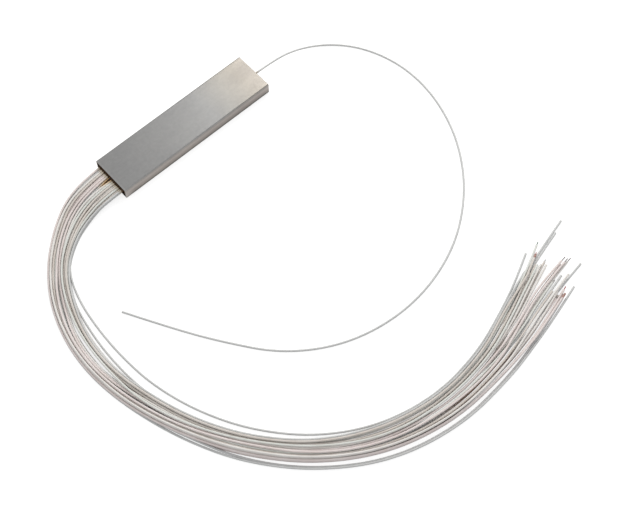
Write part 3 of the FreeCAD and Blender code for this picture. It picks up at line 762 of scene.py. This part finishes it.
# painted sheen on the near corner of the output end
tree.links.new(mix_color(tree, near_point(tree, *CORNER_SHEEN), tone, SHEEN_STEEL),
               principled.inputs["Base Color"])
principled.inputs["Metallic"].default_value = 1.0
principled.inputs["Specular Tint"].default_value = EDGE_TINT
rough = tree.nodes.new("ShaderNodeMapRange")
rough.inputs["To Min"].default_value = 0.29
rough.inputs["To Max"].default_value = 0.39
tree.links.new(cloud.outputs["Noise"], rough.inputs["Value"])
tree.links.new(rough.outputs["Result"], principled.inputs["Roughness"])
bump_from(tree, strokes.outputs["Noise"], principled, distance=0.000004, strength=0.5)
finish_node("housing_tube", steel)

# --- Inner channel, its pad and its plugs -----------------------------------
# The optics sit in a smaller channel of bright steel, which lies on a strip of
# dark foam and is closed at both ends with translucent silicone.

# Two tones, roughness, metallic and the scale of the drift between the tones
INNER_FINISHES = {
    "bright_steel": ((0.62, 0.62, 0.63), (0.50, 0.50, 0.51), 0.22, 1.0, 240.0),
    "foam": ((0.045, 0.045, 0.05), (0.015, 0.015, 0.017), 0.9, 0.0, 1500.0),
    "silicone": ((0.66, 0.68, 0.68), (0.52, 0.55, 0.56), 0.5, 0.0, 500.0),
    "chip_glass": ((0.36, 0.44, 0.46), (0.28, 0.35, 0.38), 0.08, 0.0, 300.0),
    "block_glass": ((0.60, 0.66, 0.66), (0.50, 0.57, 0.58), 0.12, 0.0, 260.0),
    "ribbon_matrix": ((0.55, 0.60, 0.66), (0.40, 0.47, 0.56), 0.3, 0.0, 700.0),
    "coated_glass": ((0.62, 0.62, 0.58), (0.45, 0.45, 0.42), 0.3, 0.0, 900.0),
}


def plain_finish(name, tone, other, roughness, metallic, scale):
    """Finish of a hidden piece: two tones that drift, and a slight relief."""
    material, tree, principled = new_material(name)
    drift = place_group(tree, tone_drift, Tone=(*tone, 1), Other_Tone=(*other, 1),
                        Scale=scale, Share=0.8)
    tree.links.new(object_vector(tree), drift.inputs["Vector"])
    tree.links.new(drift.outputs["Color"], principled.inputs["Base Color"])
    principled.inputs["Roughness"].default_value = roughness
    principled.inputs["Metallic"].default_value = metallic
    bump_from(tree, drift.outputs["Noise"], principled, distance=0.00002, strength=0.3)
    return material


inner = {name: plain_finish(name, *values) for name, values in INNER_FINISHES.items()}
finish_node("module_tube", inner["bright_steel"])
finish_node("module_pad", inner["foam"])
for node in ("output_plug", "input_plug", "chip_bed"):
    finish_node(node, inner["silicone"])

# --- Chip and fibre blocks --------------------------------------------------
# The waveguide chip and the two V-groove blocks are glass, cemented face to
# face with their ends polished at eight degrees, each under a glass lid.
finish_node("splitter_chip", inner["chip_glass"])
for node in ("chip_cover_output", "chip_cover_input", "output_fibre_block", "output_block_lid",
             "input_fibre_block", "input_block_lid"):
    finish_node(node, inner["block_glass"])

# --- Fibres inside the housing ----------------------------------------------
# Four ribbons of eight coated fibres run from the output block to the tubes,
# and one coated fibre runs from the input lead to its block.
finish_node("input_fibre", inner["coated_glass"])
for number in range(1, 5):
    finish_node("fibre_ribbon_%d" % number, inner["ribbon_matrix"])

# --- Surface and light ------------------------------------------------------
# The splitter lies on a plain white table in an even white room, under a wide
# soft lamp on the far side and a weak one on the near side.
TABLE_HALF = 3.0
TABLE_CORNERS = ((-1, -1), (1, -1), (1, 1), (-1, 1))
TABLE_GREY = (0.50, 0.50, 0.50, 1)
TABLE_GLOW = 0.74               # brings the table up to white where it is seen
ROOM_LIGHT = 0.62               # the room's strength as light on the splitter
ROOM_SEEN = 1.0                 # and where it is seen
floor_mesh = bpy.data.meshes.new("table_top")
floor_mesh.from_pydata([(x * TABLE_HALF, y * TABLE_HALF, 0.0) for x, y in TABLE_CORNERS],
                       [], [(0, 1, 2, 3)])
table_top = bpy.data.objects.new("table_top", floor_mesh)
bpy.context.scene.collection.objects.link(table_top)


def seen_directly(tree):
    """1 where the background is seen by the camera, or in metal or through glass."""
    path = tree.nodes.new("ShaderNodeLightPath")
    total = path.outputs["Is Camera Ray"]
    for name in ("Is Glossy Ray", "Is Transmission Ray"):
        larger = tree.nodes.new("ShaderNodeMath")
        larger.operation = "MAXIMUM"
        tree.links.new(total, larger.inputs[0])
        tree.links.new(path.outputs[name], larger.inputs[1])
        total = larger.outputs["Value"]
    return total


paper, tree, principled = new_material("table_white")
principled.inputs["Base Color"].default_value = TABLE_GREY
principled.inputs["Roughness"].default_value = 0.9
principled.inputs["Specular IOR Level"].default_value = 0.0
principled.inputs["Emission Color"].default_value = (1, 1, 1, 1)
lift = tree.nodes.new("ShaderNodeMath")
lift.operation = "MULTIPLY"
lift.inputs[1].default_value = TABLE_GLOW
tree.links.new(seen_directly(tree), lift.inputs[0])
tree.links.new(lift.outputs["Value"], principled.inputs["Emission Strength"])
floor_mesh.materials.append(paper)

world = bpy.data.worlds.new("white_room")
bpy.context.scene.world = world
world.use_nodes = True
sky = world.node_tree.nodes["Background"]
sky.inputs["Color"].default_value = (1, 1, 1, 1)
level = world.node_tree.nodes.new("ShaderNodeMapRange")
level.inputs["To Min"].default_value = ROOM_LIGHT
level.inputs["To Max"].default_value = ROOM_SEEN
world.node_tree.links.new(seen_directly(world.node_tree), level.inputs["Value"])
world.node_tree.links.new(level.outputs["Result"], sky.inputs["Strength"])


def soft_lamp(name, at, towards, width, depth, power, tint):
    """Rectangular soft lamp of a given size in metres that looks from one point to another."""
    lamp = bpy.data.lights.new(name, "AREA")
    lamp.shape = "RECTANGLE"
    lamp.size = width
    lamp.size_y = depth
    lamp.energy = power
    lamp.color = tint
    obj = bpy.data.objects.new(name, lamp)
    bpy.context.scene.collection.objects.link(obj)
    obj.location = at
    dx, dy, dz = (b - a for a, b in zip(at, towards))
    obj.rotation_euler = (math.atan2(math.hypot(dx, dy), -dz), 0.0, math.atan2(dy, dx) - math.pi / 2)


soft_lamp("key_lamp", at=(0.392, 0.24, 0.40), towards=(0.03, 0.0, 0.0),
          width=0.25, depth=0.30, power=2.40, tint=(1.0, 0.985, 0.94))
soft_lamp("fill_lamp", at=(-0.36, -0.25, 0.75), towards=(0.0, -0.08, 0.0),
          width=0.50, depth=0.50, power=0.2, tint=WHITE)
